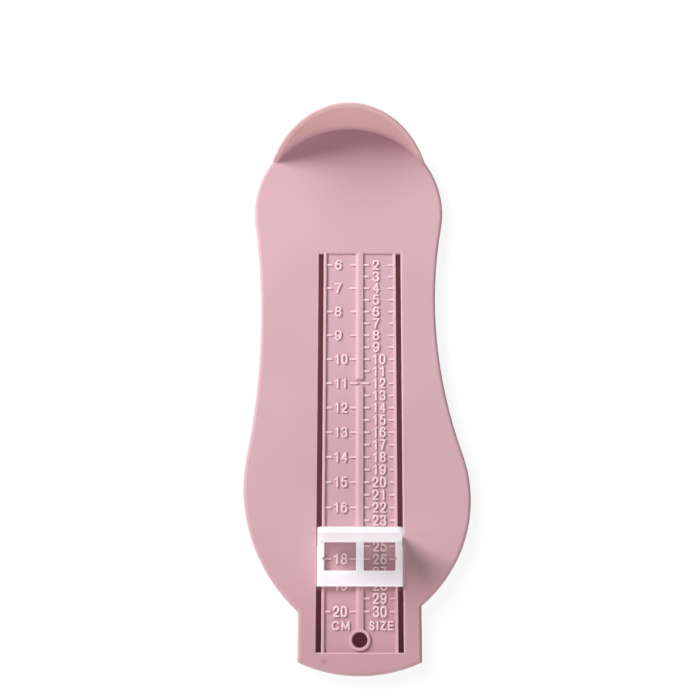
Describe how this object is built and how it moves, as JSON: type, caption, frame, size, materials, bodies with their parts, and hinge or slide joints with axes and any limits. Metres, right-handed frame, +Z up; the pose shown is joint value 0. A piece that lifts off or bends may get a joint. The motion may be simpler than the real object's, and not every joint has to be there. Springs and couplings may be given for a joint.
{
  "type": "foot measuring device",
  "caption": "Foot-shaped plastic board with a curved heel wall, a sunken ruled channel, a hanging hole and a windowed toe stop that slides along two slots.",
  "frame": {"origin": "bottom centre of the box round the whole device at rest, on the table it stands on", "axes": "+Y along the board towards the heel wall, +X to the right as seen by someone who looks down with the heel wall at the top, +Z up from the table"},
  "size_m": [0.0894, 0.226, 0.031],
  "materials": {
    "board_plastic": "pink polypropylene with a fine satin texture",
    "stop_plastic": "white polypropylene with a fine satin texture"
  },
  "bodies": {
    "board": {"measuring_board": "board_plastic"},
    "toe_stop": {"toe_stop_slider": "stop_plastic", "slider_keeper": "stop_plastic"}
  },
  "joints": [
    {"name": "toe_stop_slide", "type": "slide", "parent": "board", "child": "toe_stop", "axis": [0, 1, 0], "range_m": [-0.0249, 0.12]}
  ]
}
